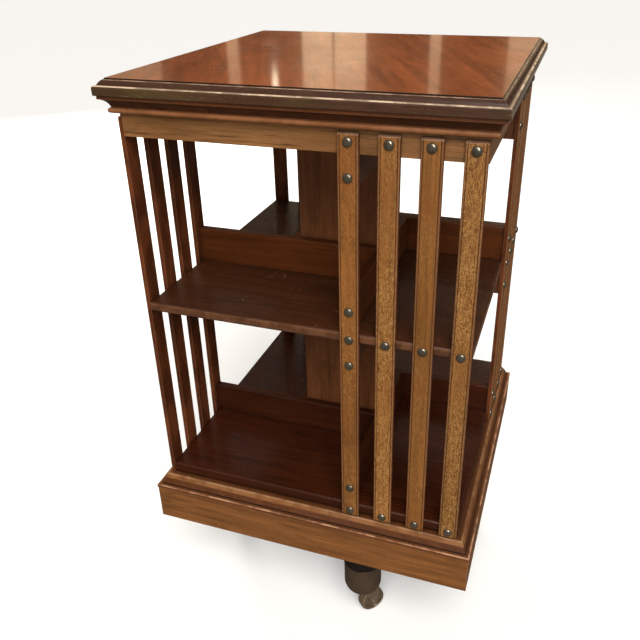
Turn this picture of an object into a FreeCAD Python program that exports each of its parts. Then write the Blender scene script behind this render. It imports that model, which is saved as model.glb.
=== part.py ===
import FreeCAD, Part
import math
import os

# A floor-standing revolving bookcase in the Edwardian manner.  A square slatted case holds books
# on two tiers and turns on a central spindle, which stands in a cross-shaped foot on four castors.
# Millimetres.  The origin is on the floor under the spindle, +Z is up and the front faces -Y.
# Each face of the case has four slats on one half and an open book bay on the other half.
# The four faces are the same face turned by quarter turns, so they chase each other like a pinwheel.

Vector = FreeCAD.Vector
Y_AXIS = Vector(0, 1, 0)
Z_AXIS = Vector(0, 0, 1)
FACE_NAMES = ("front", "right", "back", "left")

# Case boards
case_side = 440.0
base_board_thickness = 16.0
lower_tier_height = 265.0
mid_shelf_thickness = 14.0
upper_tier_height = 278.0
board_edge_radius = 4.5

# Top panel and its moulded edge
top_thickness = 18.5
top_overhang = 20.0
top_edge_width = 11.6
top_panel_rise = 0.8
top_ovolo_drop = 6.7
top_ovolo_bulge_depth = 1.0
top_step_width = 1.4
top_nosing_radius = 3.2
top_under_radius = 1.5

# Cornice under the top, a hollow over a bead
cornice_height = 21.5
cornice_reach = 17.0
cornice_fillet_height = 4.2
cornice_step = 1.4
cornice_bead_radius = 3.3
cornice_bead_seat = 6.2
cornice_hollow_sink = 1.8

# Frieze behind the slat heads, glued to the top by blocks in its corners
frieze_depth = 50.5
frieze_thickness = 15.0
top_block_size = 18.0
top_block_length = 60.0

# Slats
slats_per_face = 4
slat_width = 24.5
slat_thickness = 6.5
slat_proud = 5.0
slat_column_lap = 3.35
slat_corner_setback = 0.85
slat_head_gap = 4.0
slat_head_slope = 2.7
slat_bead_radius = 1.25
slat_quirk_width = 0.8
housing_clearance = 0.2

# Central column
column_side = 117.0
column_board_thickness = 12.0

# Book stops on the two boards, and the deep rails above the books
stop_thickness = 12.5
upper_stop_height = 52.0
lower_stop_height = 48.0
stop_edge_radius = 2.0
top_rail_depth = 94.5
shelf_rail_depth = 42.5

# Domed studs on the slats
stud_radius = 6.0
stud_height = 3.6
stud_shank_radius = 1.6
stud_shank_end_gap = 1.5
stud_hole_clearance = 0.05
frieze_stud_rise = 14.0
top_rail_stud_rise = 17.5
stop_stud_rise = 32.5
shelf_rail_stud_rise = 12.0

# Plinth
plinth_projection = 20.0
plinth_board_height = 57.0
plinth_board_thickness = 18.0
plinth_arris_radius = 1.2
plinth_block_size = 24.0
plinth_moulding_height = 21.5
plinth_moulding_lap = 16.0
plinth_ledge_width = 7.5
plinth_ovolo_bulge_depth = 0.5
plinth_quirk_height = 1.6
plinth_fillet_width = 5.5
plinth_fillet_height = 5.6
plinth_nosing_reach = 0.8
plinth_nosing_round = 0.8

# Cross foot
plinth_floor_gap = 3.0
cross_thickness = 35.0
cross_cup_margin = 1.0
cross_turn = 21.8
cross_arris = 2.0
castor_inset = 32.0

# Spindle, its flanged socket and its bushes
spindle_radius = 9.0
spindle_fit = 0.05
flange_radius = 55.0
flange_thickness = 6.0
socket_foot_radius = 27.0
socket_head_radius = 17.0
socket_pin_radius = 3.0
socket_pin_rise = 30.0
washer_thickness = 3.0
thrust_gap = 0.1
bush_wall = 4.0
bush_flange_radius = 24.0
bush_flange_thickness = 4.0
bush_seat_clearance = 0.05
bearing_block_height = 25.0
top_bush_recess = 4.0
spindle_top_recess = 6.0
flange_screw_inset = 13.0
flange_screw_radius = 2.2
flange_screw_length = 28.0
flange_screw_head_radius = 4.6
flange_screw_head_height = 2.6
screw_clearance = 0.05

# Castors
wheel_radius = 20.0
wheel_width = 16.0
wheel_edge_radius = 3.5
wheel_rim_thickness = 5.0
wheel_web_recess = 2.2
wheel_hub_radius = 6.5
wheel_side_play = 0.3
axle_radius = 2.5
axle_fit = 0.05
axle_head_radius = 4.0
axle_head_height = 1.2
fork_headroom = 3.7
fork_bridge_thickness = 4.0
fork_bridge_overhang = 9.0
fork_crown_radius = 11.0
fork_crown_thickness = 5.0
fork_cheek_thickness = 2.5
fork_boss_radius = 6.0
swivel_gap = 0.3
swivel_pin_radius = 4.0
swivel_pin_length = 16.0
swivel_pin_fit = 0.05
swivel_bore_end_gap = 1.5
castor_trail = 15.0
castor_headings = (46.0, 171.0, 236.0, 118.0)
cup_radius = 28.5
cup_corner_radius = 19.0
cup_side_height = 40.5
cup_boss_height = 1.5
cup_rim_reach = 0.5
cup_rim_height = 3.0
cup_boss_radius = 9.0
cup_wall = 3.9
cup_web = 3.8
foot_fit = 0.1
foot_end_gap = 0.3

# How far cutting shapes run past the surfaces that they cut
cut_overrun = 1.0

# The arms of the cross are a little wider than the rims of the cups under their ends
cross_width = 2 * (cup_radius + cup_rim_reach + cross_cup_margin)

# Heights above the floor, built up from the wheels
bridge_bottom_z = 2 * wheel_radius + fork_headroom
crown_bottom_z = bridge_bottom_z + fork_bridge_thickness
crown_top_z = crown_bottom_z + fork_crown_thickness
cup_bottom_z = crown_top_z + swivel_gap
cup_corner_z = cup_bottom_z + cup_boss_height + cup_corner_radius
cup_top_z = cup_corner_z + cup_side_height
swivel_bore_top_z = crown_top_z + swivel_pin_length + swivel_bore_end_gap
cup_floor_z = swivel_bore_top_z + cup_web
cross_bottom_z = cup_top_z
cross_top_z = cross_bottom_z + cross_thickness
cross_mid_z = (cross_bottom_z + cross_top_z) / 2
plinth_bottom_z = cross_top_z + plinth_floor_gap
plinth_board_top_z = plinth_bottom_z + plinth_board_height
ledge_z = plinth_board_top_z + plinth_moulding_height
base_top_z = ledge_z + base_board_thickness
shelf_bottom_z = base_top_z + lower_tier_height
shelf_top_z = shelf_bottom_z + mid_shelf_thickness
top_bottom_z = shelf_top_z + upper_tier_height
top_z = top_bottom_z + top_thickness
cornice_bottom_z = top_bottom_z - cornice_height
frieze_bottom_z = top_bottom_z - frieze_depth
slat_top_z = cornice_bottom_z - slat_head_gap

# Distances from the spindle axis
case_half = case_side / 2
column_half = column_side / 2
top_half = case_half + top_overhang
top_panel_half = top_half - top_edge_width
plinth_half = case_half + plinth_projection
plinth_inner = plinth_half - plinth_board_thickness
frieze_inner = case_half - frieze_thickness
castor_circle_radius = plinth_half - castor_inset
slat_back = case_half + slat_proud - slat_thickness
slat_front = case_half + slat_proud
stop_outer = column_half + stop_thickness
first_slat_x = column_half - slat_column_lap + slat_width / 2
last_slat_x = case_half - slat_corner_setback - slat_width / 2
slat_pitch = (last_slat_x - first_slat_x) / (slats_per_face - 1)
slat_centres = [first_slat_x + slat_pitch * place for place in range(slats_per_face)]


def box(x_range, y_range, z_range):
    size = [high - low for low, high in (x_range, y_range, z_range)]
    return Part.makeBox(size[0], size[1], size[2], Vector(x_range[0], y_range[0], z_range[0]))


def turned(shape, degrees):
    copy = shape.copy()
    copy.rotate(Vector(0, 0, 0), Z_AXIS, degrees)
    return copy


def four_faces(shape):
    return [turned(shape, 90 * place) for place in range(4)]


def cylinder(radius, low_z, high_z, x=0.0, y=0.0):
    return Part.makeCylinder(radius, high_z - low_z, Vector(x, y, low_z), Z_AXIS)


def outline_face(to_space, start, steps):
    """Face inside a closed outline.  A step is an end point, or a (via, end) pair for an arc."""
    edges = []
    here = start
    for step in list(steps) + [start]:
        if isinstance(step[0], tuple):
            via, end = step
            edges.append(Part.Arc(to_space(here), to_space(via), to_space(end)).toShape())
        else:
            end = step
            if to_space(here).distanceToPoint(to_space(end)) > 1e-6:
                edges.append(Part.makeLine(to_space(here), to_space(end)))
        here = end
    return Part.Face(Part.Wire(edges))


def arc_points(centre, radius, start_degrees, end_degrees):
    """The middle and the end of an arc about a centre, ready for outline_face."""
    def at(degrees):
        turn = math.radians(degrees)
        return (centre[0] + radius * math.cos(turn), centre[1] + radius * math.sin(turn))
    return (at((start_degrees + end_degrees) / 2), at(end_degrees))


def bulged(start, end, bulge):
    """Shallow arc to the end point, ready for outline_face.  It bulges to the left of its travel."""
    across = (end[0] - start[0], end[1] - start[1])
    length = math.hypot(across[0], across[1])
    via = ((start[0] + end[0]) / 2 - bulge * across[1] / length,
           (start[1] + end[1]) / 2 + bulge * across[0] / length)
    return (via, end)


def revolved(start, steps):
    """Solid of revolution about Z from an outline in (radius, height)."""
    face = outline_face(lambda point: Vector(point[0], 0, point[1]), start, steps)
    solid = face.revolve(Vector(0, 0, 0), Z_AXIS, 360)
    if solid.Volume < 0:
        solid.reverse()
    return solid


def domed_pin(head_radius, head_height, shank_radius, shank_length):
    """Domed head standing on z = 0 with a shank below it."""
    sphere_radius = (head_radius ** 2 + head_height ** 2) / (2 * head_height)
    centre = (0, head_height - sphere_radius)
    rim_degrees = math.degrees(math.atan2(-centre[1], head_radius))
    steps = [(shank_radius, -shank_length), (shank_radius, 0), (head_radius, 0),
             arc_points(centre, sphere_radius, rim_degrees, 90)]
    return revolved((0, -shank_length), steps)


def mitred_frame(outer, start, steps):
    """Four mitred sticks round the axis from one section in (distance from the axis, height)."""
    end = outer + cut_overrun
    face = outline_face(lambda point: Vector(-end, -point[0], point[1]), start, steps)
    stick = face.extrude(Vector(2 * end, 0, 0))
    heights = stick.BoundBox
    corners = [Vector(0, 0, heights.ZMin), Vector(-2 * outer, -2 * outer, heights.ZMin),
               Vector(2 * outer, -2 * outer, heights.ZMin), Vector(0, 0, heights.ZMin)]
    wedge = Part.Face(Part.makePolygon(corners)).extrude(Vector(0, 0, heights.ZLength))
    return four_faces(stick.common(wedge))


def as_solids(shapes):
    """One compound that holds only the solids of the shapes given."""
    return Part.Compound([solid for shape in shapes for solid in shape.Solids])


def export(name, *shapes):
    as_solids(shapes).exportStep("parts/" + name + ".step")


def slat_housings():
    """Space that the sixteen slats take up in the boards and in the frieze."""
    spaces = []
    for centre in slat_centres:
        low_x = centre - slat_width / 2 - housing_clearance
        high_x = centre + slat_width / 2 + housing_clearance
        if centre == slat_centres[-1]:
            high_x = slat_front + cut_overrun
        depth_range = (-slat_front - cut_overrun, -slat_back)
        height_range = (ledge_z - cut_overrun, slat_top_z + housing_clearance)
        spaces += four_faces(box((low_x, high_x), depth_range, height_range))
    return Part.Compound(spaces)


def stud_heights(slat_index):
    """Stud heights on one slat.  Only the slat in line with the book stops has all seven."""
    heights = [ledge_z + base_board_thickness / 2,
               (shelf_bottom_z + shelf_top_z) / 2,
               frieze_bottom_z + frieze_stud_rise]
    if slat_index == 0:
        heights += [base_top_z + stop_stud_rise,
                    shelf_bottom_z - shelf_rail_depth + shelf_rail_stud_rise,
                    shelf_top_z + stop_stud_rise,
                    top_bottom_z - top_rail_depth + top_rail_stud_rise]
    return heights


def slat_section():
    """Slat section in (across, outwards) with a bead and a quirk along both front arrises."""
    half = slat_width / 2
    shoulder = slat_thickness - slat_bead_radius
    bead_inner = half - 2 * slat_bead_radius
    quirk_inner = bead_inner - slat_quirk_width
    right_bead = ((half - slat_bead_radius, slat_thickness), (bead_inner, shoulder))
    left_bead = ((slat_bead_radius - half, slat_thickness), (-half, shoulder))
    steps = [(half, 0), (half, shoulder), right_bead, (quirk_inner, slat_thickness),
             (-quirk_inner, slat_thickness), (-bead_inner, shoulder), left_bead]
    return (-half, 0), steps


def slat(slat_index):
    """One slat of the front face, drilled for its studs and weathered at the head."""
    centre = slat_centres[slat_index]
    start, steps = slat_section()
    face = outline_face(lambda p: Vector(centre + p[0], -slat_back - p[1], ledge_z), start, steps)
    stick = face.extrude(Vector(0, 0, slat_top_z - ledge_z))
    side_x = centre - slat_width
    head = [Vector(side_x, -case_half, slat_top_z), Vector(side_x, -slat_front, slat_top_z),
            Vector(side_x, -slat_front, slat_top_z - slat_head_slope)]
    stick = stick.cut(Part.Face(Part.makePolygon(head + head[:1])).extrude(Vector(2 * slat_width, 0, 0)))
    for height in stud_heights(slat_index):
        hole_radius = stud_shank_radius + stud_hole_clearance
        depth = slat_thickness - stud_shank_end_gap + cut_overrun
        mouth = Vector(centre, -slat_front - cut_overrun, height)
        stick = stick.cut(Part.makeCylinder(hole_radius, depth, mouth, Y_AXIS))
    return stick


def stud(x, z):
    """Domed stud on the front face, its shank running into the slat."""
    pin = domed_pin(stud_radius, stud_height, stud_shank_radius, slat_thickness - stud_shank_end_gap)
    pin.rotate(Vector(0, 0, 0), Vector(1, 0, 0), 90)
    pin.translate(Vector(x, -slat_front, z))
    return pin


def case_board(low_z, high_z):
    """Square board of the case with rounded edges, housed for the slats."""
    board = box((-case_half, case_half), (-case_half, case_half), (low_z, high_z))
    flat_edges = [edge for edge in board.Edges if edge.BoundBox.ZLength < (high_z - low_z) / 2]
    return board.makeFillet(board_edge_radius, flat_edges).cut(slat_housings())


def book_stop(low_z, height):
    """Book stop at the back of the front bay, from the left slats to the next stop."""
    stop = box((-slat_back, column_half), (-stop_outer, -column_half), (low_z, low_z + height))
    top_edges = [edge for edge in stop.Edges
                 if edge.BoundBox.ZMin > low_z + height / 2 and edge.BoundBox.XLength > stop_thickness]
    return stop.makeFillet(stop_edge_radius, top_edges)


def deep_rail(low_z, high_z):
    """Rail from the left slats to the column, over the stop at the back of the front bay."""
    return box((-slat_back, -column_half), (-stop_outer, -column_half), (low_z, high_z))


def top_section():
    """Moulded edge of the top: ovolo, step and nosing over a square fascia."""
    step_z = top_z - top_ovolo_drop
    nosing_centre = (top_half - top_nosing_radius, step_z - top_nosing_radius)
    under_centre = (top_half - top_under_radius, top_bottom_z + top_under_radius)
    ovolo_foot = (nosing_centre[0] - top_step_width, step_z)
    steps = [(under_centre[0], top_bottom_z),
             arc_points(under_centre, top_under_radius, -90, 0),
             (top_half, nosing_centre[1]),
             arc_points(nosing_centre, top_nosing_radius, 0, 90),
             ovolo_foot,
             bulged(ovolo_foot, (top_panel_half, top_z), -top_ovolo_bulge_depth)]
    return (top_panel_half, top_bottom_z), steps


def cornice_section():
    """Cornice under the top: fillet, hollow and bead, from the case face outwards."""
    bead_centre = (case_half + cornice_bead_seat, cornice_bottom_z + cornice_bead_radius)
    outer = case_half + cornice_reach
    fillet_z = top_bottom_z - cornice_fillet_height
    hollow_top = (outer - cornice_step, fillet_z)
    hollow_foot = (bead_centre[0], bead_centre[1] + cornice_bead_radius)
    steps = [(bead_centre[0], cornice_bottom_z),
             arc_points(bead_centre, cornice_bead_radius, -90, 90),
             bulged(hollow_foot, hollow_top, cornice_hollow_sink),
             (outer, fillet_z),
             (outer, top_bottom_z),
             (case_half, top_bottom_z)]
    return (case_half, cornice_bottom_z), steps


def plinth_section():
    """Moulding on the plinth: ledge for the slats, ovolo, quirk and a small nosing."""
    inner = case_half - plinth_moulding_lap
    nose = plinth_half + plinth_nosing_reach
    fillet_z = plinth_board_top_z + plinth_fillet_height
    nosing_centre = (nose - plinth_nosing_round, fillet_z - plinth_nosing_round)
    ovolo_foot = (plinth_half - plinth_fillet_width, fillet_z + plinth_quirk_height)
    steps = [(plinth_half, plinth_board_top_z),
             (nose, plinth_board_top_z + plinth_nosing_reach),
             (nose, nosing_centre[1]),
             arc_points(nosing_centre, plinth_nosing_round, 0, 90),
             (ovolo_foot[0], fillet_z),
             ovolo_foot,
             bulged(ovolo_foot, (case_half + plinth_ledge_width, ledge_z), -plinth_ovolo_bulge_depth),
             (inner, ledge_z)]
    return (inner, plinth_board_top_z), steps


def build_top():
    panel_range = (-top_panel_half, top_panel_half)
    export("top_panel", box(panel_range, panel_range, (top_bottom_z, top_z + top_panel_rise)))
    export("top_edge_moulding", *mitred_frame(top_half, *top_section()))
    export("cornice_moulding", *mitred_frame(case_half + cornice_reach, *cornice_section()))


def frieze_frame():
    """The four frieze rails before they are housed for the slats."""
    section = [(case_half, frieze_bottom_z), (case_half, top_bottom_z), (frieze_inner, top_bottom_z)]
    return mitred_frame(case_half, (frieze_inner, frieze_bottom_z), section)


def build_frieze():
    export("frieze_rails", *[rail.cut(slat_housings()) for rail in frieze_frame()])
    block_range = (-frieze_inner, -frieze_inner + top_block_size)
    near_corner = frieze_inner - top_block_size - top_block_length
    height_range = (top_bottom_z - top_block_size, top_bottom_z)
    block = box((near_corner, near_corner + top_block_length), block_range, height_range)
    export("top_blocks", *four_faces(block))


def build_slats():
    for slat_index in range(slats_per_face):
        for face_name, stick in zip(FACE_NAMES, four_faces(slat(slat_index))):
            export("slat_" + face_name + "_" + str(slat_index + 1), stick)
    front_studs = [stud(slat_centres[slat_index], height)
                   for slat_index in range(slats_per_face) for height in stud_heights(slat_index)]
    export("slat_studs", *[turned_stud for one in front_studs for turned_stud in four_faces(one)])


def build_column():
    front_board = box((-column_half, column_half - column_board_thickness),
                      (-column_half, -column_half + column_board_thickness), (base_top_z, top_bottom_z))
    for face_name, board in zip(FACE_NAMES, four_faces(front_board)):
        export("column_board_" + face_name, board)


def build_boards():
    well_range = (-column_half, column_half)
    well = box(well_range, well_range, (shelf_bottom_z - cut_overrun, shelf_top_z + cut_overrun))
    export("mid_shelf", case_board(shelf_bottom_z, shelf_top_z).cut(well))
    hole_radius = spindle_radius + bush_wall + bush_seat_clearance
    bush_hole = cylinder(hole_radius, ledge_z - cut_overrun, base_top_z + cut_overrun)
    export("base_board", case_board(ledge_z, base_top_z).cut(bush_hole))


def build_stops_and_rails():
    for face_name, stop in zip(FACE_NAMES, four_faces(book_stop(shelf_top_z, upper_stop_height))):
        export("upper_stop_" + face_name, stop)
    for face_name, stop in zip(FACE_NAMES, four_faces(book_stop(base_top_z, lower_stop_height))):
        export("lower_stop_" + face_name, stop)
    rail = deep_rail(top_bottom_z - top_rail_depth, top_bottom_z)
    for piece in frieze_frame():
        rail = rail.cut(piece)
    export("top_rails", *four_faces(rail))
    export("shelf_rails", *four_faces(deep_rail(shelf_bottom_z - shelf_rail_depth, shelf_bottom_z)))


def build_plinth():
    arris_centre = (plinth_half - plinth_arris_radius, plinth_bottom_z + plinth_arris_radius)
    section = [(arris_centre[0], plinth_bottom_z),
               arc_points(arris_centre, plinth_arris_radius, -90, 0),
               (plinth_half, plinth_board_top_z),
               (plinth_inner, plinth_board_top_z)]
    export("plinth_boards", *mitred_frame(plinth_half, (plinth_inner, plinth_bottom_z), section))
    export("plinth_moulding", *mitred_frame(plinth_half + plinth_nosing_reach, *plinth_section()))
    corner_range = (-plinth_inner, -plinth_inner + plinth_block_size)
    block = box(corner_range, corner_range, (plinth_bottom_z, plinth_board_top_z))
    export("plinth_blocks", *four_faces(block))


def flange_screw(x, y):
    """Round-head screw through the socket flange into an arm of the cross."""
    screw = domed_pin(flange_screw_head_radius, flange_screw_head_height,
                      flange_screw_radius, flange_screw_length)
    screw.translate(Vector(x, y, cross_top_z + flange_thickness))
    return screw


def screw_places():
    circle = flange_radius - flange_screw_inset
    turns = [math.radians(cross_turn + 90 * place) for place in range(4)]
    return [(circle * math.cos(turn), circle * math.sin(turn)) for turn in turns]


def screw_holes():
    low_z = cross_top_z + flange_thickness - flange_screw_length - cut_overrun
    high_z = cross_top_z + flange_thickness + cut_overrun
    radius = flange_screw_radius + screw_clearance
    return Part.Compound([cylinder(radius, low_z, high_z, x, y) for x, y in screw_places()])


def cross_bar(lap_low_z, lap_high_z):
    """One bar of the cross along X with a round foot at each end, before the lap is cut."""
    bar = box((-castor_circle_radius, castor_circle_radius), (-cross_width / 2, cross_width / 2),
              (cross_bottom_z, cross_top_z))
    for x in (-castor_circle_radius, castor_circle_radius):
        bar = bar.fuse(cylinder(cross_width / 2, cross_bottom_z, cross_top_z, x, 0))
    bar = bar.removeSplitter()
    rims = [edge for edge in bar.Edges if edge.BoundBox.ZLength < 1e-6 and edge.BoundBox.ZMin < cross_mid_z]
    bar = bar.makeChamfer(cross_arris, rims)
    foot_radius = cup_radius - cup_wall - foot_fit
    for x in (-castor_circle_radius, castor_circle_radius):
        bar = bar.fuse(cylinder(foot_radius, cup_floor_z + foot_end_gap, cross_bottom_z, x, 0))
    lap_half = cross_width / 2
    bar = bar.cut(box((-lap_half, lap_half), (-cross_width, cross_width), (lap_low_z, lap_high_z)))
    hole_radius = spindle_radius + spindle_fit
    return bar.cut(cylinder(hole_radius, cross_bottom_z - cut_overrun, cross_top_z + cut_overrun))


def build_cross():
    lower = turned(cross_bar(cross_mid_z, cross_top_z + cut_overrun), cross_turn)
    upper = turned(cross_bar(cross_bottom_z - cut_overrun, cross_mid_z), cross_turn + 90)
    export("cross_bar_lower", lower.cut(screw_holes()))
    export("cross_bar_upper", upper.cut(screw_holes()))


def build_spindle():
    bush_bottom_z = ledge_z - bush_flange_thickness
    washer_bottom_z = bush_bottom_z - thrust_gap - washer_thickness
    flange_top_z = cross_top_z + flange_thickness
    bore = spindle_radius + spindle_fit
    steps = [(flange_radius, cross_top_z), (flange_radius, flange_top_z), (socket_foot_radius, flange_top_z),
             (socket_head_radius, washer_bottom_z), (bore, washer_bottom_z)]
    socket = revolved((bore, cross_top_z), steps).cut(screw_holes())
    pin_z = flange_top_z + socket_pin_rise
    pin_start = Vector(0, -flange_radius, pin_z)
    pin_hole = Part.makeCylinder(socket_pin_radius, 2 * flange_radius, pin_start, Y_AXIS)
    export("socket_pin", pin_hole.common(socket.fuse(cylinder(bore, flange_top_z, washer_bottom_z))))
    export("spindle_socket", socket.cut(pin_hole))
    export("socket_screws", *[flange_screw(x, y) for x, y in screw_places()])
    washer = cylinder(socket_head_radius, washer_bottom_z, washer_bottom_z + washer_thickness)
    export("thrust_washer", washer.cut(cylinder(bore, washer_bottom_z - cut_overrun, bush_bottom_z)))
    spindle = cylinder(spindle_radius, cross_bottom_z, top_bottom_z - spindle_top_recess)
    export("spindle", spindle.cut(pin_hole))

    barrel = spindle_radius + bush_wall
    steps = [(bush_flange_radius, bush_bottom_z), (bush_flange_radius, ledge_z), (barrel, ledge_z),
             (barrel, base_top_z), (bore, base_top_z)]
    export("lower_bush", revolved((bore, bush_bottom_z), steps))
    block_bottom_z = top_bottom_z - bearing_block_height
    inside = (-column_half + column_board_thickness, column_half - column_board_thickness)
    block = box(inside, inside, (block_bottom_z, top_bottom_z))
    hole = cylinder(barrel + bush_seat_clearance, block_bottom_z - cut_overrun, top_bottom_z + cut_overrun)
    export("top_bearing_block", block.cut(hole))
    top_bush = cylinder(barrel, block_bottom_z, top_bottom_z - top_bush_recess)
    export("top_bush", top_bush.cut(cylinder(bore, block_bottom_z - cut_overrun, top_bottom_z)))


def castor_cup():
    """Round cup over the foot of one arm, with a blind bore below for the swivel pin."""
    boss_top_z = cup_bottom_z + cup_boss_height
    corner_x = cup_radius - cup_corner_radius
    socket_radius = cup_radius - cup_wall
    rim_z = cup_top_z - cup_rim_height
    rim_radius = cup_radius + cup_rim_reach
    steps = [(cup_boss_radius, cup_bottom_z),
             (cup_boss_radius, boss_top_z),
             (corner_x, boss_top_z),
             arc_points((corner_x, cup_corner_z), cup_corner_radius, -90, 0),
             (cup_radius, rim_z - cup_rim_reach),
             (rim_radius, rim_z),
             (rim_radius, cup_top_z),
             (socket_radius, cup_top_z),
             (socket_radius, cup_floor_z),
             (0, cup_floor_z)]
    bore = cylinder(swivel_pin_radius + swivel_pin_fit, cup_bottom_z - cut_overrun, swivel_bore_top_z)
    return revolved((0, cup_bottom_z), steps).cut(bore)


def castor_fork():
    """Fork with its riveted axle, swivel axis on Z and the wheel trailing along +X."""
    inner = wheel_width / 2 + wheel_side_play
    outer = inner + fork_cheek_thickness
    tail_x = castor_trail + fork_bridge_overhang
    body = box((-fork_bridge_overhang, tail_x), (-outer, outer), (bridge_bottom_z, crown_bottom_z))
    body = body.fuse(cylinder(fork_crown_radius, crown_bottom_z, crown_top_z))
    body = body.fuse(cylinder(swivel_pin_radius, crown_top_z, crown_top_z + swivel_pin_length))
    corners = [Vector(0, -outer, crown_bottom_z), Vector(tail_x, -outer, crown_bottom_z),
               Vector(castor_trail + fork_boss_radius, -outer, wheel_radius),
               Vector(castor_trail - fork_boss_radius, -outer, wheel_radius)]
    cheek = Part.Face(Part.makePolygon(corners + corners[:1])).extrude(Vector(0, fork_cheek_thickness, 0))
    boss_centre = Vector(castor_trail, -outer, wheel_radius)
    boss = Part.makeCylinder(fork_boss_radius, fork_cheek_thickness, boss_centre, Y_AXIS)
    cheek = cheek.fuse(boss)
    far_cheek = cheek.copy()
    far_cheek.translate(Vector(0, 2 * outer - fork_cheek_thickness, 0))
    body = body.fuse([cheek, far_cheek]).removeSplitter()
    axle = axle_along(axle_radius, outer)
    for side in (-1, 1):
        head = axle_along(axle_head_radius, axle_head_height / 2)
        head.translate(Vector(0, side * (outer + axle_head_height / 2), 0))
        axle = axle.fuse(head)
    hole = axle_along(axle_radius, outer + cut_overrun)
    return [body.cut(hole), axle.removeSplitter()]


def axle_along(radius, half_length):
    start = Vector(castor_trail, -half_length, wheel_radius)
    return Part.makeCylinder(radius, 2 * half_length, start, Y_AXIS)


def castor_wheel():
    """Dished wheel on the fork's axle, its tread rounded at both edges."""
    half = wheel_width / 2
    rim_inner = wheel_radius - wheel_rim_thickness
    web_half = half - wheel_web_recess
    bore = axle_radius + axle_fit
    edge_x = wheel_radius - wheel_edge_radius
    edge_y = half - wheel_edge_radius
    steps = [(wheel_hub_radius, -half), (wheel_hub_radius, -web_half), (rim_inner, -web_half),
             (rim_inner, -half), (edge_x, -half), arc_points((edge_x, -edge_y), wheel_edge_radius, -90, 0),
             (wheel_radius, edge_y), arc_points((edge_x, edge_y), wheel_edge_radius, 0, 90),
             (rim_inner, half), (rim_inner, web_half), (wheel_hub_radius, web_half),
             (wheel_hub_radius, half), (bore, half)]
    wheel = revolved((bore, -half), steps)
    wheel.rotate(Vector(0, 0, 0), Vector(1, 0, 0), 90)
    wheel.translate(Vector(castor_trail, 0, wheel_radius))
    return wheel


def place_castor(shape, place):
    """Turn a castor piece to its heading and move it under the arm at its place."""
    arm = math.radians(cross_turn + 90 * (place - 1))
    copy = turned(shape, castor_headings[place])
    copy.translate(Vector(castor_circle_radius * math.cos(arm), castor_circle_radius * math.sin(arm), 0))
    return copy


def build_castors():
    places = range(len(castor_headings))
    export("castor_cups", *[place_castor(castor_cup(), place) for place in places])
    for place in places:
        number = str(place + 1)
        export("castor_fork_" + number, *[place_castor(piece, place) for piece in castor_fork()])
        export("castor_wheel_" + number, place_castor(castor_wheel(), place))


os.makedirs("parts", exist_ok=True)
build_top()
build_frieze()
build_slats()
build_column()
build_boards()
build_stops_and_rails()
build_plinth()
build_cross()
build_spindle()
build_castors()
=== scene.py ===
import bpy
import bmesh
import math
import random
from mathutils import Matrix, Vector, noise


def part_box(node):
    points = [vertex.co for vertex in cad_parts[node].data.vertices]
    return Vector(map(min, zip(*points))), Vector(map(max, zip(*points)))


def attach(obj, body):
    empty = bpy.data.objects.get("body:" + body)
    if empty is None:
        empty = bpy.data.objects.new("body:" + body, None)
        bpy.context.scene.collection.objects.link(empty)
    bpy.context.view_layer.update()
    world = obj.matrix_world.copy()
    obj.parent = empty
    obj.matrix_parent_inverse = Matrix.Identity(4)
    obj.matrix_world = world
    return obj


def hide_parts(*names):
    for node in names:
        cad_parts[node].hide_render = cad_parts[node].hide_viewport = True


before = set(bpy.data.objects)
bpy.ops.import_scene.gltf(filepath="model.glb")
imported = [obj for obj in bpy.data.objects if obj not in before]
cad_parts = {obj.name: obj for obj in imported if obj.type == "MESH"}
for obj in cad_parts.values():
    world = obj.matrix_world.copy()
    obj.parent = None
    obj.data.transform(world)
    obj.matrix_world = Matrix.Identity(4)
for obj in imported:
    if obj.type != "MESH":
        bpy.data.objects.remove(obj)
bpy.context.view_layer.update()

# Revolving bookcase in polished mahogany with bronze studs and castors, in metres and the CAD's
# frame.  Every node keeps its CAD shape and takes a procedural material, except the studs, which
# are made here, each a little out of true.

FACES = ("front", "right", "back", "left")
GRAIN_AXES = {"X": (0, 1, 2), "Y": (1, 2, 0), "Z": (2, 0, 1)}
UP = Vector((0, 0, 1))


# Colours

def rgb(red, green, blue):
    """Linear colour from the usual 0 to 255 numbers."""
    def linear(value):
        value = value / 255
        return value / 12.92 if value <= 0.04045 else ((value + 0.055) / 1.055) ** 2.4
    return (linear(red), linear(green), linear(blue), 1.0)


def tinted(colour, factor):
    """The same colour, darker or lighter by a factor."""
    return tuple(min(1.0, part * factor) for part in colour[:3]) + (1.0,)


def shades(red, green, blue, spread=1.0):
    """Dark, middle and light tone of one wood, from its middle colour."""
    middle = rgb(red, green, blue)
    return tinted(middle, 1 - 0.42 * spread), middle, tinted(middle, 1 + 0.5 * spread)


FLECK = rgb(186, 142, 82)
SLAT_TONES = (shades(124, 77, 36), shades(138, 89, 44), shades(132, 85, 41), shades(124, 80, 40))
SLAT_FLECKS = (0.35, 0.75, 0.25, 0.75)
# Lighter colour of the slats' worn arrises, which also stands for painted highlight.
SLAT_WEAR_AND_HIGHLIGHT = rgb(170, 122, 96)
SLAT_TINT = rgb(122, 66, 28)
# Darker shade of the slats' wood on their sides and backs: painted shade.
SLAT_BACK_SHADE = rgb(108, 58, 32)
BEAD = rgb(124, 84, 58)
# Dark quirk beside each bead: painted shade in the groove.
QUIRK_SHADE = rgb(34, 18, 10)
UPPER_STOP = shades(82, 41, 15)
LOWER_STOP = shades(60, 26, 9)
# Lighter colour of worn arrises on the shelf and base board, which also stands for painted
# highlight.
SHELF_WEAR_AND_HIGHLIGHT = rgb(150, 104, 78)
# Darker copy of the wood for the parts inside the case, where little light reaches: painted shade.
INSIDE_SHADE = shades(96, 57, 32)
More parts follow.
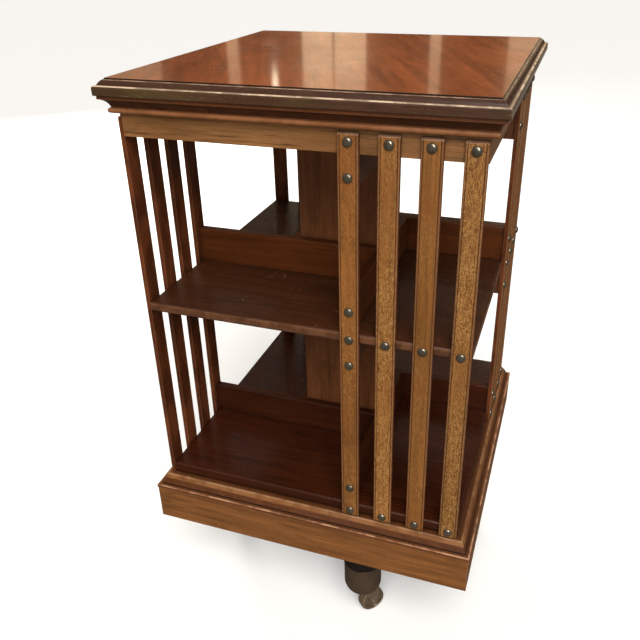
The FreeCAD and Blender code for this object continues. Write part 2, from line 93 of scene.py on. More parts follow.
# Lighter colour of worn arrises on the top's edge and the cornice, which also stands for painted
# highlight.
PINK_EDGE = rgb(206, 160, 132)
# Painted highlight along the nosing of the top's edge.
NOSING_HIGHLIGHT = rgb(226, 198, 168)
JOINT = rgb(30, 17, 11)
SCRATCH = rgb(190, 160, 120)
WARM_WHITE = (1.0, 0.96, 0.9)
STRIP_GLOW = (1.0, 0.72, 0.44)
GLINT = (1.0, 0.85, 0.6)

# Rings of another colour round the case, some of them painted highlights and some painted shade:
# from and to which distance from the axis, from and to which height, the colour, and the least
# share of it where it is broken up.
ALL_OF_THE_TOP = (0.8, 0.83)
TOP_RINGS = (
    ((0.2277, 0.25), ALL_OF_THE_TOP, JOINT, 1.0),
)
TOP_EDGE_RINGS = (
    ((0.2303, 0.2352), ALL_OF_THE_TOP, rgb(62, 37, 25), 0.75),
    # Painted highlight along the nosing.
    ((0.2366, 0.25), (0.8143, 0.8156), NOSING_HIGHLIGHT, 0.35),
    # Painted highlight along the top of the ovolo, just below the joint.
    ((0.23, 0.2336), (0.8207, 0.8219), rgb(186, 150, 126), 0.3),
    ((0.22, 0.2292), ALL_OF_THE_TOP, JOINT, 1.0),
)
CORNICE_RINGS = (
    # Painted highlight along the bead.
    ((0.22, 0.25), (0.782, 0.7886), rgb(150, 98, 62), 0.6),
    # Painted shade in the hollow under the top's edge.
    ((0.22, 0.2366), (0.7894, 0.7996), rgb(64, 34, 17), 0.7),
    ((0.22, 0.25), (0.7996, 0.805), rgb(92, 54, 30), 0.5),
)
SLAT_RINGS = (
    # Paler slat heads: partly wear, partly painted highlight.
    ((0.2205, 0.2262), (0.775, 0.79), rgb(176, 136, 110), 0.5),
)
SHELF_RINGS = (
    # Painted highlight along the shelf's front edge.
    ((0.2165, 0.25), (0.51, 0.524), rgb(104, 68, 46), 0.4),
)
PLINTH_MOULDING_RINGS = (
    # Painted shade on the lower half of the ovolo.
    ((0.2300, 0.2346), (0.2162, 0.2236), rgb(78, 43, 23), 0.5),
    # Painted light on the upper half of the ovolo.
    ((0.2286, 0.231), (0.2236, 0.2312), rgb(132, 88, 50), 0.4),
    # Painted highlight along the top of the moulding.
    ((0.2262, 0.2286), (0.2288, 0.232), rgb(150, 110, 76), 0.3),
    ((0.2335, 0.2352), (0.2142, 0.2164), JOINT, 1.0),
    # Painted highlight along the lower arris.
    ((0.2385, 0.2415), (0.2136, 0.2156), rgb(184, 138, 106), 0.2),
    ((0.2385, 0.2415), (0.2085, 0.21), JOINT, 1.0),
)
RING_SOFTNESS = 0.00025


# Node trees

class Nodes:
    """Short calls for building one node tree."""

    def __init__(self, tree):
        self.tree = tree
        tree.nodes.clear()

    def put(self, socket, value):
        if isinstance(value, bpy.types.NodeSocket):
            self.tree.links.new(value, socket)
        else:
            socket.default_value = value

    def node(self, kind, inputs=(), **settings):
        node = self.tree.nodes.new("ShaderNode" + kind)
        for key, value in settings.items():
            setattr(node, key, value)
        for key, value in dict(inputs).items():
            self.put(node.inputs[key], value)
        return node

    def math(self, operation, first, *second):
        inputs = dict(enumerate((first,) + second))
        return self.node("Math", inputs, operation=operation).outputs[0]

    def add(self, first, *others):
        for other in others:
            first = self.math("ADD", first, other)
        return first

    def times(self, first, *others):
        for other in others:
            first = self.math("MULTIPLY", first, other)
        return first

    def coords(self):
        return self.node("TexCoord").outputs["Object"]

    def split(self, vector):
        return self.node("SeparateXYZ", {0: vector}).outputs

    def join(self, x, y, z):
        return self.node("CombineXYZ", {0: x, 1: y, 2: z}).outputs[0]

    def noise(self, vector, waves, detail=3.0, roughness=0.5, distortion=0.0):
        """Noise with its own number of waves per metre along each axis."""
        place = self.node("VectorMath", {0: vector, 1: waves}, operation="MULTIPLY").outputs[0]
        settings = {"Vector": place, "Scale": 1.0, "Detail": detail, "Roughness": roughness,
                    "Distortion": distortion}
        return self.node("TexNoise", settings).outputs["Fac"]

    def band(self, value, low, high, low_out=0.0, high_out=1.0):
        """Smooth step from low_out, where the value is low, to high_out, where it is high."""
        settings = {"Value": value, "From Min": low, "From Max": high, "To Min": low_out,
                    "To Max": high_out}
        step = self.node("MapRange", settings, interpolation_type="SMOOTHSTEP")
        return step.outputs["Result"]

    def mix(self, factor, first, second):
        """Blend of two colours."""
        inputs = {"Factor": factor, 6: first, 7: second}
        return self.node("Mix", inputs, data_type="RGBA", clamp_factor=True).outputs[2]

    def blend(self, factor, first, second):
        """Blend of two numbers."""
        inputs = {0: factor, 2: first, 3: second}
        return self.node("Mix", inputs, data_type="FLOAT", clamp_factor=True).outputs[0]

    def ramp(self, value, stops):
        node = self.node("ValToRGB", {0: value})
        elements = node.color_ramp.elements
        while len(elements) < len(stops):
            elements.new(0.5)
        for element, (place, colour) in zip(elements, stops):
            element.position = place
            element.color = colour
        return node.outputs[0]

    def arris(self, radius):
        """How far the surface turns within a radius, 0 on a flat face, with the soft normal."""
        bevel = self.node("Bevel", {"Radius": radius}, samples=6).outputs[0]
        plain = self.node("NewGeometry").outputs["Normal"]
        dot = self.node("VectorMath", {0: bevel, 1: plain}, operation="DOT_PRODUCT")
        return self.math("SUBTRACT", 1.0, dot.outputs["Value"]), bevel

    def recess(self, distance):
        """1 in the open and less in corners and hollows."""
        return self.node("AmbientOcclusion", {"Distance": distance}, samples=6).outputs["AO"]

    def relief(self, height, strength, distance, normal):
        return self.node("Bump", {"Height": height, "Strength": strength, "Distance": distance,
                                  "Normal": normal}).outputs[0]


class Surface(Nodes):
    """One material, built round a Principled shader."""

    def __init__(self, name):
        self.material = bpy.data.materials.new(name)
        self.material.use_nodes = True
        super().__init__(self.material.node_tree)
        self.shader = self.node("BsdfPrincipled")
        self.node("OutputMaterial", {0: self.shader.outputs[0]})

    def set(self, **values):
        """Put values or sockets on the shader, with _ for a space in a socket's name."""
        for key, value in values.items():
            self.put(self.shader.inputs[key.replace("_", " ")], value)


# Wood

# Waves per metre along the grain and twice across it.
TONE = (1.6, 11.0, 11.0)
LINES = (5.0, 95.0, 95.0)
FINE = (22.0, 700.0, 700.0)
PORES = (80.0, 2600.0, 2600.0)
CURL = (8.0, 70.0, 70.0)
VEINS = (11.0, 330.0, 330.0)
CLOUD = (14.0, 38.0, 38.0)
WORMS = (110.0, 340.0, 340.0)
WORM_PATCHES = (9.0, 25.0, 25.0)
# Waves per metre along X, Y and Z, whichever way the grain runs.
TINT_PATCHES = (9.0, 9.0, 9.0)
WEAR_AND_HIGHLIGHT_PATCHES = (60.0, 60.0, 60.0)
RING_PATCHES = (45.0, 45.0, 45.0)
SCRATCHES = (70.0, 70.0, 900.0)
DULL_PATCHES = (14.0, 14.0, 14.0)

# Share of each pattern in the wood's tone.
TONE_SHARE = 0.42
LINE_SHARE = 0.38
FINE_SHARE = 0.2

# Distances from the axis between which a slat's sides give way to its face.
SLAT_SIDE = (0.2236, 0.2246)
SLAT_FACE = (0.2232, 0.2242)
# Distances from a slat's middle at which its beads start, with the quirk just inside them.
BEAD_START = (0.0099, 0.0106)
QUIRK_INNER = (0.009, 0.0093)
QUIRK_OUTER = (0.0101, 0.0097)

# How far round an arris the wear and painted highlight go, and how far into a corner the painted
# shade.
WOOD_ARRIS = 0.0009
WOOD_RECESS = 0.012
# A seed's step along each axis, with the span after which it starts again, and the shift from
# one stick of a mitred frame to the next, so that no two pieces show the same grain.
SEED_STEPS = ((3.71, 5.0), (1.93, 3.0), (2.57, 4.0))
STICK_SHIFT = 1.37


def grain_space(tree, grain, seed, tilt):
    """Coordinates with X along the grain.  A mitred frame's four sticks each run their own way."""
    place = tree.coords()
    if tilt:
        turn = tree.node("VectorRotate", {"Vector": place, "Angle": tilt}, rotation_type="Z_AXIS")
        place = turn.outputs[0]
    axes = tree.split(place)
    if grain == "mitre":
        across = tree.math("ABSOLUTE", axes[0])
        along = tree.math("ABSOLUTE", axes[1])
        front = tree.math("GREATER_THAN", along, across)
        side_x = tree.math("GREATER_THAN", axes[0], 0.0)
        side_y = tree.math("GREATER_THAN", axes[1], 0.0)
        side = tree.blend(front, side_x, tree.add(side_y, 2.0))
        run = tree.blend(front, axes[1], axes[0])
        depth = tree.blend(front, axes[0], axes[1])
        order = (tree.add(run, tree.times(side, STICK_SHIFT)), depth, axes[2])
    else:
        order = [axes[axis] for axis in GRAIN_AXES[grain]]
    shift = tuple(seed * step % span for step, span in SEED_STEPS)
    return tree.node("VectorMath", {0: tree.join(*order), 1: shift}, operation="ADD").outputs[0]


def from_axis(tree):
    """Distance from the spindle's axis to the nearest face, the same on all four sides."""
    axes = tree.split(tree.coords())
    return tree.math("MAXIMUM", tree.math("ABSOLUTE", axes[0]), tree.math("ABSOLUTE", axes[1]))


def zone(tree, reach, height):
    """1 in a ring round the case, given by distance from the axis and height, and 0 outside."""
    away, up = from_axis(tree), tree.split(tree.coords())[2]
    steps = [tree.band(value, edge - soft, edge + soft)
             for value, edges in ((away, reach), (up, height))
             for edge, soft in zip(edges, (RING_SOFTNESS, -RING_SOFTNESS))]
    return tree.times(*steps)


def veined(tree, place, colour, dark, light, strength):
    """Fine dark and light veins, and darker clouds.  Gives the clouds' pattern too."""
    veins = tree.noise(place, VEINS, roughness=0.65)
    colour = tree.mix(tree.band(veins, 0.53, 0.68, 0.0, strength), colour, tinted(dark, 0.6))
    colour = tree.mix(tree.band(veins, 0.46, 0.32, 0.0, strength * 0.7), colour,
                      tinted(light, 1.15))
    cloud = tree.noise(place, CLOUD, roughness=0.6, distortion=0.6)
    colour = tree.mix(tree.band(cloud, 0.54, 0.7, 0.0, strength), colour, tinted(dark, 0.8))
    return colour, cloud


def flecked(tree, place, colour, dark, strength):
    """Ray fleck: short bright worms in patches, on a slightly darker ground."""
    worm = tree.noise(place, WORMS, detail=1.5, roughness=0.6, distortion=1.8)
    where = tree.band(tree.noise(place, WORM_PATCHES, detail=1.0), 0.3, 0.55, 0.4, 1.0)
    ridge = tree.math("ABSOLUTE", tree.math("SUBTRACT", worm, 0.5))
    bright = tree.times(tree.band(ridge, 0.055, 0.02, 0.0, strength), where)
    ground = tree.times(tree.band(ridge, 0.05, 0.12, 0.0, strength * 0.7), where)
    return tree.mix(bright, tree.mix(ground, colour, tinted(dark, 0.85)), FLECK)


def beaded(tree, colour, axis, centre):
    """Beads of another shade down both sides of a slat's face, each beside a quirk in painted
    shade.
    """
    side = tree.math("ABSOLUTE", tree.math("SUBTRACT", tree.split(tree.coords())[axis], centre))
    face = tree.band(from_axis(tree), *SLAT_FACE)
    colour = tree.mix(tree.times(face, tree.band(side, *BEAD_START, 0.0, 0.5)), colour, BEAD)
    quirk = tree.times(tree.band(side, *QUIRK_INNER), tree.band(side, *QUIRK_OUTER))
    return tree.mix(tree.times(face, quirk, 0.75), colour, QUIRK_SHADE)


def wood(name, tones, seed, rough, grain="X", coat=0.0, coat_rough=0.09, fleck=0.0, streak=1.0,
         wear_and_highlight=0.5, wear_and_highlight_colour=None, corner_shade_strength=0.6, tilt=0.0, figure=0.0, tint=None, inner_shade=None,
         vein=0.45, rings=(), bead=None, scratch=0.0):
    """Polished wood: broad tone, grain lines, fine pores, ray fleck, worn arrises with painted
    highlights, and painted shade in corners.
    """
    dark, middle, light = tones
    tree = Surface(name)
    place = grain_space(tree, grain, seed, tilt)
    lines = tree.noise(place, LINES, detail=5.0, roughness=0.6, distortion=0.5)
    fine = tree.noise(place, FINE, roughness=0.6)
    tone = tree.add(tree.times(tree.noise(place, TONE), TONE_SHARE),
                    tree.times(lines, LINE_SHARE * streak), tree.times(fine, FINE_SHARE),
                    LINE_SHARE / 2 * (1 - streak))
    if figure:
        curl = tree.noise(place, CURL, detail=5.0, roughness=0.66, distortion=1.0)
        tone = tree.add(tone, tree.times(tree.math("SUBTRACT", curl, 0.5), figure))
    colour = tree.ramp(tone, [(0.36, dark), (0.5, middle), (0.64, light)])
    colour, cloud = veined(tree, place, colour, dark, light, vein)
    if tint:
        shade, strength = tint
        patch = tree.noise(tree.coords(), TINT_PATCHES, detail=2.0)
        colour = tree.mix(tree.band(patch, 0.45, 0.7, 0.0, strength), colour, shade)
    if fleck:
        colour = flecked(tree, place, colour, dark, fleck)
    # Sides and backs of the slats in a darker shade: painted shade.
    if inner_shade:
        shaded = tree.mix(tree.band(cloud, 0.4, 0.62), inner_shade, tinted(inner_shade, 0.5))
        colour = tree.mix(tree.band(from_axis(tree), *SLAT_SIDE), shaded, colour)
    if bead:
        colour = beaded(tree, colour, *bead)
    pores = tree.band(tree.noise(place, PORES, detail=1.0), 0.6, 0.72)
    colour = tree.mix(tree.times(pores, 0.35), colour, tinted(dark, 0.35))
    turn, soft_normal = tree.arris(WOOD_ARRIS)
    # Arrises turn a lighter colour: wear, and painted highlight.
    if wear_and_highlight:
        wear_and_highlight_mask = tree.band(tree.noise(tree.coords(), WEAR_AND_HIGHLIGHT_PATCHES), 0.25, 0.6, 0.45, 1.0)
        edge = tree.times(tree.band(turn, 0.02, 0.22, 0.0, wear_and_highlight), wear_and_highlight_mask)
        colour = tree.mix(edge, colour, wear_and_highlight_colour or tinted(light, 1.6))
    for reach, height, shade, least in rings:
        patch = tree.noise(tree.coords(), RING_PATCHES, detail=4.0, roughness=0.6)
        ring = tree.times(zone(tree, reach, height), tree.band(patch, 0.4, 0.6, least, 1.0))
        colour = tree.mix(ring, colour, shade)
    if scratch:
        cuts = tree.noise(tree.coords(), SCRATCHES, distortion=2.2)
        colour = tree.mix(tree.band(cuts, 0.66, 0.74, 0.0, scratch), colour, SCRATCH)
    # Darker towards corners and hollows: painted shade.
    painted_corner_shade = tree.band(tree.recess(WOOD_RECESS), 0.25, 0.85, corner_shade_strength, 0.0)
    dull = tree.noise(tree.coords(), DULL_PATCHES, detail=4.0)
    relief = tree.math("SUBTRACT", tree.add(tree.times(lines, 0.4), tree.times(fine, 0.6)),
                       tree.times(pores, 0.3))
    tree.set(Base_Color=tree.mix(painted_corner_shade, colour, tinted(dark, 0.22)),
             Roughness=tree.band(dull, 0.2, 0.8, rough * 0.8, rough * 1.25),
             Normal=tree.relief(relief, 0.16, 0.0006, soft_normal), Specular_IOR_Level=0.3)
    if coat:
        tree.set(Coat_Weight=coat, Coat_Roughness=coat_rough)
    return tree.material


# Metal

BLOTCHES = (70.0, 70.0, 70.0)
SPECKS = (900.0, 900.0, 900.0)
METAL_ARRIS = 0.0005
METAL_RECESS = 0.004


def metal(name, base, patina, bright, rough, wear_and_highlight=0.5, metallic=1.0):
    """Old metal: mottled patina, rubbed high spots that also stand for painted highlights, painted
    shade in hollows, and small pits.
    """
    tree = Surface(name)
    blotch = tree.noise(tree.coords(), BLOTCHES, detail=5.0, roughness=0.6)
    speck = tree.noise(tree.coords(), SPECKS, detail=2.0)
    colour = tree.mix(tree.band(blotch, 0.38, 0.66, 0.0, 0.6), base, patina)
    turn, soft_normal = tree.arris(METAL_ARRIS)
    # Arrises turn the bright colour: wear, and painted highlight.
    wear_and_highlight_mask = tree.times(tree.band(turn, 0.01, 0.18, 0.0, wear_and_highlight), tree.band(blotch, 0.3, 0.6))
    colour = tree.mix(wear_and_highlight_mask, colour, bright)
    # Darker in corners and hollows: painted shade.
    painted_corner_shade = tree.band(tree.recess(METAL_RECESS), 0.3, 0.85, 0.75, 0.0)
    relief = tree.add(tree.times(blotch, 0.6), tree.times(speck, 0.15))
    tree.set(Base_Color=tree.mix(painted_corner_shade, colour, tinted(base, 0.2)), Metallic=metallic,
             Roughness=tree.band(blotch, 0.3, 0.7, rough, min(1.0, rough * 1.6)),
             Normal=tree.relief(relief, 0.25, 0.0008, soft_normal))
    return tree.material


def dress(node, material):
    """A carried-over CAD node keeps its shape and takes this material."""
    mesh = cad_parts[node].data
    mesh.materials.clear()
    mesh.materials.append(material)


# Case, from the top down

dress("top_panel", wood("top_polish", shades(160, 84, 40, 0.8), grain="Y", seed=1, rough=0.3,
                        coat=0.6, coat_rough=0.1, wear_and_highlight=0.0, corner_shade_strength=0.9, figure=0.55, streak=1.2,
                        tilt=math.radians(-24), vein=0.2, rings=TOP_RINGS))
dress("top_edge_moulding", wood("top_edge_polish", shades(68, 46, 33), grain="mitre", seed=2,
                                rough=0.26, coat=0.15, wear_and_highlight=0.6, wear_and_highlight_colour=PINK_EDGE,
                                scratch=0.5, tint=(rgb(98, 80, 48), 0.45), rings=TOP_EDGE_RINGS))
dress("cornice_moulding", wood("cornice_polish", shades(104, 58, 30), grain="mitre", seed=3,
                               rough=0.3, coat=0.2, wear_and_highlight=0.7, wear_and_highlight_colour=PINK_EDGE,
                               rings=CORNICE_RINGS))
dress("frieze_rails", wood("frieze_polish", shades(126, 87, 52, 1.3), grain="mitre", seed=4,
                           rough=0.36, vein=0.8, tint=(rgb(120, 80, 44), 0.5), scratch=0.3))
dress("top_blocks", wood("block_top", INSIDE_SHADE, grain="mitre", seed=5, rough=0.7, wear_and_highlight=0.2))
for face, name in enumerate(FACES):
    axis = face % 2
    along = "XY"[axis]
    for slat, (tones, fleck) in enumerate(zip(SLAT_TONES, SLAT_FLECKS)):
        node = f"slat_{name}_{slat + 1}"
        low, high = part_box(node)
        dress(node, wood(f"slat_polish_{name}_{slat + 1}", tones, grain="Z",
                         seed=10 + 4 * face + slat, rough=0.34, fleck=fleck, streak=0.8,
                         wear_and_highlight=0.75, wear_and_highlight_colour=SLAT_WEAR_AND_HIGHLIGHT, tint=(SLAT_TINT, 0.35),
                         inner_shade=SLAT_BACK_SHADE, rings=SLAT_RINGS,
                         bead=(axis, (low[axis] + high[axis]) / 2)))
    dress(f"column_board_{name}", wood(f"column_polish_{name}", INSIDE_SHADE, grain="Z", seed=30 + face,
                                       rough=0.4))
    dress(f"upper_stop_{name}", wood(f"upper_stop_polish_{name}", UPPER_STOP, grain=along,
                                     seed=40 + face, rough=0.34, wear_and_highlight_colour=rgb(140, 84, 50)))
    dress(f"lower_stop_{name}", wood(f"lower_stop_polish_{name}", LOWER_STOP, grain=along,
                                     seed=50 + face, rough=0.34, wear_and_highlight_colour=rgb(130, 78, 46)))
dress("mid_shelf", wood("shelf_polish", shades(62, 33, 17), seed=60, rough=0.28, coat=0.2,
                        wear_and_highlight=0.8, wear_and_highlight_colour=SHELF_WEAR_AND_HIGHLIGHT, scratch=0.15, rings=SHELF_RINGS))
dress("base_board", wood("base_polish", shades(58, 24, 9), seed=61, rough=0.26, coat=0.2,
                         wear_and_highlight=0.8, wear_and_highlight_colour=SHELF_WEAR_AND_HIGHLIGHT))
dress("top_rails", wood("top_rail_polish", INSIDE_SHADE, grain="mitre", seed=62, rough=0.42))
dress("shelf_rails", wood("shelf_rail_polish", INSIDE_SHADE, grain="mitre", seed=63, rough=0.42))
dress("plinth_boards", wood("plinth_polish", shades(128, 82, 44), grain="mitre", seed=64,
                            rough=0.36, wear_and_highlight=0.9, wear_and_highlight_colour=rgb(214, 168, 138), vein=0.55,
                            scratch=0.5))
dress("plinth_moulding", wood("plinth_moulding_polish", shades(100, 58, 30), grain="mitre",
                              seed=65, rough=0.4, wear_and_highlight=1.0, wear_and_highlight_colour=rgb(190, 140, 108),
                              scratch=0.3, corner_shade_strength=0.9, rings=PLINTH_MOULDING_RINGS))
dress("plinth_blocks", wood("block_plinth", INSIDE_SHADE, grain="Z", seed=66, rough=0.7, wear_and_highlight=0.2))
dress("top_bearing_block", wood("block_bearing", INSIDE_SHADE, seed=67, rough=0.7, wear_and_highlight=0.2))

# Foot and castors

# The cross bars are near black all over.
for number, node in enumerate(("cross_bar_lower", "cross_bar_upper")):
    dress(node, wood(f"{node}_near_black", shades(26, 20, 17), seed=70 + number, rough=0.5, wear_and_highlight=0.4,
                     tilt=math.radians(-21.8)))
BRASS = metal("bush_metal", rgb(176, 134, 70), rgb(120, 84, 40), rgb(226, 190, 120), rough=0.3)
STEEL = metal("steel_metal", rgb(120, 120, 120), rgb(78, 70, 62), rgb(190, 190, 190), rough=0.32)
IRON = metal("iron_metal", rgb(40, 38, 36), rgb(58, 40, 30), rgb(120, 116, 110), rough=0.55)
CUP = metal("cup_bronze", rgb(104, 84, 68), rgb(80, 66, 54), rgb(160, 138, 112), rough=0.36,
            metallic=0.6)
CASTOR = metal("castor_bronze", rgb(156, 134, 112), rgb(104, 86, 70), rgb(236, 218, 184),
               rough=0.2, metallic=0.65, wear_and_highlight=0.8)
STUD = metal("stud_bronze", rgb(118, 110, 96), rgb(84, 78, 66), rgb(190, 184, 170), rough=0.2,
             metallic=0.7)
for node in ("lower_bush", "top_bush", "thrust_washer"):
    dress(node, BRASS)
for node in ("spindle", "socket_pin", "socket_screws"):
    dress(node, STEEL)
dress("spindle_socket", IRON)
dress("castor_cups", CUP)
for number in range(1, 5):
    dress(f"castor_fork_{number}", CASTOR)
    dress(f"castor_wheel_{number}", CASTOR)

# Studs

STUD_RADIUS = 0.006
STUD_HEIGHT = 0.0036
STUD_FOOT = 0.0004
STUD_WAVE = 0.025
DOME_FULLNESS = 0.9
RIM_STEPS = 28
DOME_STEPS = 8
STUD_SEED = 7
MERGE_DISTANCE = 1e-6


def stud_boxes():
    """Lowest and highest corner of each solid of the CAD's stud node."""
    work = bmesh.new()
    work.from_mesh(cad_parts["slat_studs"].data)
    bmesh.ops.remove_doubles(work, verts=work.verts, dist=MERGE_DISTANCE)
    seen, boxes = set(), []
    for vert in work.verts:
        if vert in seen:
            continue
        group, stack = [], [vert]
        seen.add(vert)
        while stack:
            here = stack.pop()
            group.append(here.co.copy())
            for edge in here.link_edges:
                other = edge.other_vert(here)
                if other not in seen:
                    seen.add(other)
                    stack.append(other)
        boxes.append([Vector([pick(point[axis] for point in group) for axis in range(3)])
                      for pick in (min, max)])
    work.free()
    return boxes


def dome_rings(work, centre, side, top, phase):
    """Rings of vertices from the rim up, each a little wavy.  The last is the tip alone."""
    rings = []
    for step in range(DOME_STEPS + 1):
        angle = math.pi / 2 * step / DOME_STEPS
        lift = math.sin(angle) ** DOME_FULLNESS
        ring = []
        for place in range(RIM_STEPS if step < DOME_STEPS else 1):
            turn = 2 * math.pi * place / RIM_STEPS
            wave = noise.noise(Vector((math.cos(turn) + phase, math.sin(turn), angle)))
            radius = STUD_RADIUS * math.cos(angle) * (1 + STUD_WAVE * wave)
            ring.append(work.verts.new(centre + side * radius * math.cos(turn)
                                       + UP * radius * math.sin(turn) + top * lift))
        rings.append(ring)
    return rings


def skin(work, lower, upper):
    """Faces between two rings."""
    for place in range(RIM_STEPS):
        after = (place + 1) % RIM_STEPS
        work.faces.new((lower[place], lower[after], upper[after], upper[place]))


def make_stud(work, low, high, draw):
    """One hand-struck dome over a CAD stud's place, closed by a thin flat foot."""
    middle = (low + high) / 2
    axis = 0 if abs(middle.x) > abs(middle.y) else 1
    outward = Vector((0, 0, 0))
    outward[axis] = math.copysign(1, middle[axis])
    reach = max(abs(low.dot(outward)), abs(high.dot(outward)))
    centre = middle - outward * middle.dot(outward) + outward * (reach - STUD_HEIGHT)
    top = outward * STUD_HEIGHT * draw.uniform(0.92, 1.0)
    phase = draw.uniform(0, 10)
    *rings, tip = dome_rings(work, centre, UP.cross(outward), top, phase)
    for lower, upper in zip(rings, rings[1:]):
        skin(work, lower, upper)
    for place in range(RIM_STEPS):
        work.faces.new((rings[-1][place], rings[-1][(place + 1) % RIM_STEPS], tip[0]))
    foot = [work.verts.new(vert.co - outward * STUD_FOOT) for vert in rings[0]]
    skin(work, foot, rings[0])
    work.faces.new(list(reversed(foot)))


def make_studs():
    """All the studs in one piece on the case."""
    draw = random.Random(STUD_SEED)
    work = bmesh.new()
    for low, high in stud_boxes():
        make_stud(work, low, high, draw)
    bmesh.ops.recalc_face_normals(work, faces=work.faces)
    mesh = bpy.data.meshes.new("struck_studs")
    work.to_mesh(mesh)
    work.free()
    for face in mesh.polygons:
        face.use_smooth = len(face.vertices) < RIM_STEPS
    piece = bpy.data.objects.new("struck_studs", mesh)
    bpy.context.scene.collection.objects.link(piece)
    mesh.materials.append(STUD)
    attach(piece, "case")
    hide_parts("slat_studs")


make_studs()

# Floor

FLOOR_HALF = 40
floor_mesh = bpy.data.meshes.new("studio_floor")
floor_mesh.from_pydata([(-FLOOR_HALF, -FLOOR_HALF, 0), (FLOOR_HALF, -FLOOR_HALF, 0),
                        (FLOOR_HALF, FLOOR_HALF, 0), (-FLOOR_HALF, FLOOR_HALF, 0)],
                       [], [(0, 1, 2, 3)])
floor = bpy.data.objects.new("studio_floor", floor_mesh)
bpy.context.scene.collection.objects.link(floor)
floor_look = Surface("studio_floor")
floor_tone = floor_look.noise(floor_look.coords(), (3.0, 3.0, 3.0), detail=2.0)
floor_look.set(Base_Color=floor_look.mix(floor_tone, rgb(244, 243, 241), rgb(247, 246, 245)),
               Roughness=0.9, Specular_IOR_Level=0.1, Emission_Color=(0.86, 0.93, 1.0, 1.0),
               Emission_Strength=0.12)
floor_mesh.materials.append(floor_look.material)
floor.visible_diffuse = False
floor.visible_glossy = False

# World: pale to the camera, and dim near the horizon for all else, so that polished faces keep
# their colour.  Each stop is a height, from 0 straight down to 1 straight up, and its light.

SKY_STOPS = ((0.0, (0.14, 0.12, 0.1, 1.0)), (0.44, (0.09, 0.075, 0.06, 1.0)),
             (0.52, (0.05, 0.032, 0.022, 1.0)), (0.62, (0.055, 0.035, 0.024, 1.0)),
             (0.74, (0.13, 0.115, 0.1, 1.0)), (1.0, (0.42, 0.4, 0.37, 1.0)))
world = bpy.data.worlds.new("studio")
bpy.context.scene.world = world
world.use_nodes = True
sky = Nodes(world.node_tree)
sky_up = sky.split(sky.node("TexCoord").outputs["Generated"])["Z"]
sky_height = sky.node("MapRange", {"Value": sky_up, "From Min": -1.0, "From Max": 1.0}).outputs[0]
dim_sky = sky.node("Background", {0: sky.ramp(sky_height, SKY_STOPS), 1: 1.0})
pale_sky = sky.node("Background", {0: (0.92, 0.92, 0.92, 1.0), 1: 1.0})
to_camera = sky.node("LightPath").outputs["Is Camera Ray"]
sky_mix = sky.node("MixShader", {0: to_camera, 1: dim_sky.outputs[0], 2: pale_sky.outputs[0]})
sky.node("OutputWorld", {0: sky_mix.outputs[0]})


# Lights

def lamp(name, kind, place, aim, power, colour, **settings):
    """Light at a place that points at a spot on the object."""
    light = bpy.data.lights.new(name, kind)
    for key, value in settings.items():
        setattr(light, key, value)
    light.energy = power
    light.color = colour
    holder = bpy.data.objects.new(name, light)
    direction = Vector(aim) - Vector(place)
    turn = direction.to_track_quat("-Z", "Y").to_matrix().to_4x4()
    holder.matrix_world = Matrix.Translation(place) @ turn
    holder.visible_camera = False
    bpy.context.scene.collection.objects.link(holder)
    return holder


def panel(name, place, aim_height, power, size, colour=WARM_WHITE):
    """Square light that points at a height on the spindle's axis."""
    return lamp(name, "AREA", place, (0, 0, aim_height), power, colour, shape="SQUARE",
                size=size)


lamp("key", "SUN", (0.25, -0.62, 0.75), (0, 0, 0), 2.9, (1.0, 0.98, 0.95), angle=math.radians(38))
panel("soft_front", (1.3, -2.4, 2.0), 0.45, 10, 0.9)
low_front = panel("low_front", (0.2, -2.7, 0.4), 0.3, 22, 1.4)
right_side = panel("right_side", (2.6, -0.7, 0.9), 0.35, 14, 1.2)
spark = panel("spark", (1.07, -2.2, 1.6), 0.5, 20, 0.2, (1, 1, 1))
soft_back = panel("soft_back", (-2.2, 2.6, 1.5), 0.4, 60, 1.4)
for fill in (low_front, right_side, soft_back):
    fill.visible_glossy = False
spark.visible_diffuse = False

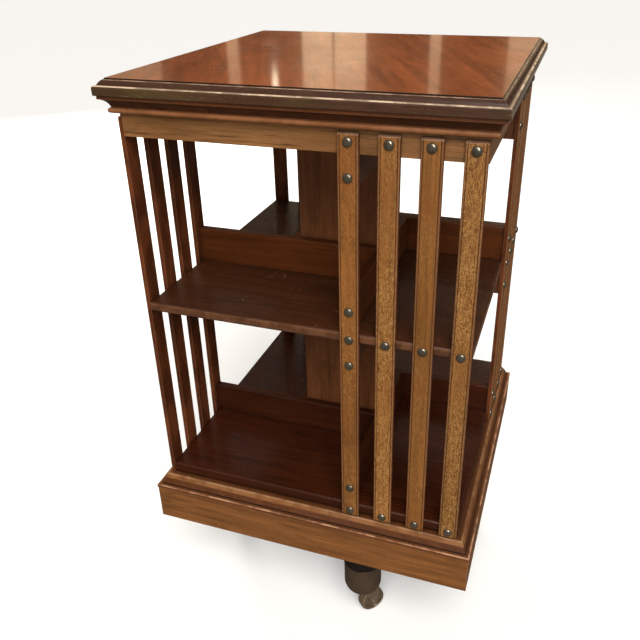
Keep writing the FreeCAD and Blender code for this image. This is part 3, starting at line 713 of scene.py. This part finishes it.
# Upright glowing strips behind the object, seen only as reflections in its polish: left, right,
# low and high edge, radiance and colour.
STRIP_BEHIND = 2.6
STRIPS = {
    "door_left_leaf": (-1.09, -0.928, 0.95, 1.75, 1.1, STRIP_GLOW),
    "door_right_leaf": (-0.916, -0.75, 0.95, 1.75, 1.1, STRIP_GLOW),
    "wall_left": (-2.9, -1.93, 0.95, 1.8, 0.4, STRIP_GLOW),
    "wall_right": (-0.06, 0.7, 0.95, 1.8, 0.65, STRIP_GLOW),
    "post_left": (-1.52, -1.45, 0.95, 1.5, 0.75, STRIP_GLOW),
    "post_right": (-0.43, -0.375, 0.95, 1.5, 0.8, STRIP_GLOW),
    "glint_low": (-1.265, -1.235, 1.34, 1.43, 7.0, GLINT),
    "glint_high": (-0.985, -0.965, 1.02, 1.11, 9.0, GLINT),
    "side_glow": (0.3, 0.8, 0.02, 0.7, 0.25, (1.0, 0.8, 0.6)),
}
for name, (left, right, low, high, radiance, colour) in STRIPS.items():
    width, height = right - left, high - low
    place = ((left + right) / 2, STRIP_BEHIND, (low + high) / 2)
    lamp(name, "AREA", place, (place[0], 0, place[2]), radiance * math.pi * width * height,
         colour, shape="RECTANGLE", size=width, size_y=height)

# Camera, solved from the photograph's own square edges.  Pixels of a 640 by 640 frame.

IMAGE = 640
FOCAL_PIXELS = 708.04
LENS_CENTRE = (334.009, 300.570)
SENSOR = 36.0
CAMERA_PLACE = (0.302046, -0.945331, 0.967297)
YAW, PITCH, ROLL = -0.3378, -0.4783, -0.0184
look = Vector((math.sin(YAW) * math.cos(PITCH), math.cos(YAW) * math.cos(PITCH), math.sin(PITCH)))
right = Vector((math.cos(YAW), -math.sin(YAW), 0))
up = right.cross(look)
rolled_right = right * math.cos(ROLL) + up * math.sin(ROLL)
rolled_up = up * math.cos(ROLL) - right * math.sin(ROLL)
camera_data = bpy.data.cameras.new("camera")
camera_data.sensor_width = SENSOR
camera_data.lens = FOCAL_PIXELS / IMAGE * SENSOR
camera_data.shift_x = (IMAGE / 2 - LENS_CENTRE[0]) / IMAGE
camera_data.shift_y = (LENS_CENTRE[1] - IMAGE / 2) / IMAGE
camera = bpy.data.objects.new("camera", camera_data)
basis = Matrix((rolled_right, rolled_up, -look)).transposed().to_4x4()
camera.matrix_world = Matrix.Translation(CAMERA_PLACE) @ basis
bpy.context.scene.collection.objects.link(camera)
bpy.context.scene.camera = camera
bpy.context.scene.view_settings.view_transform = "Standard"
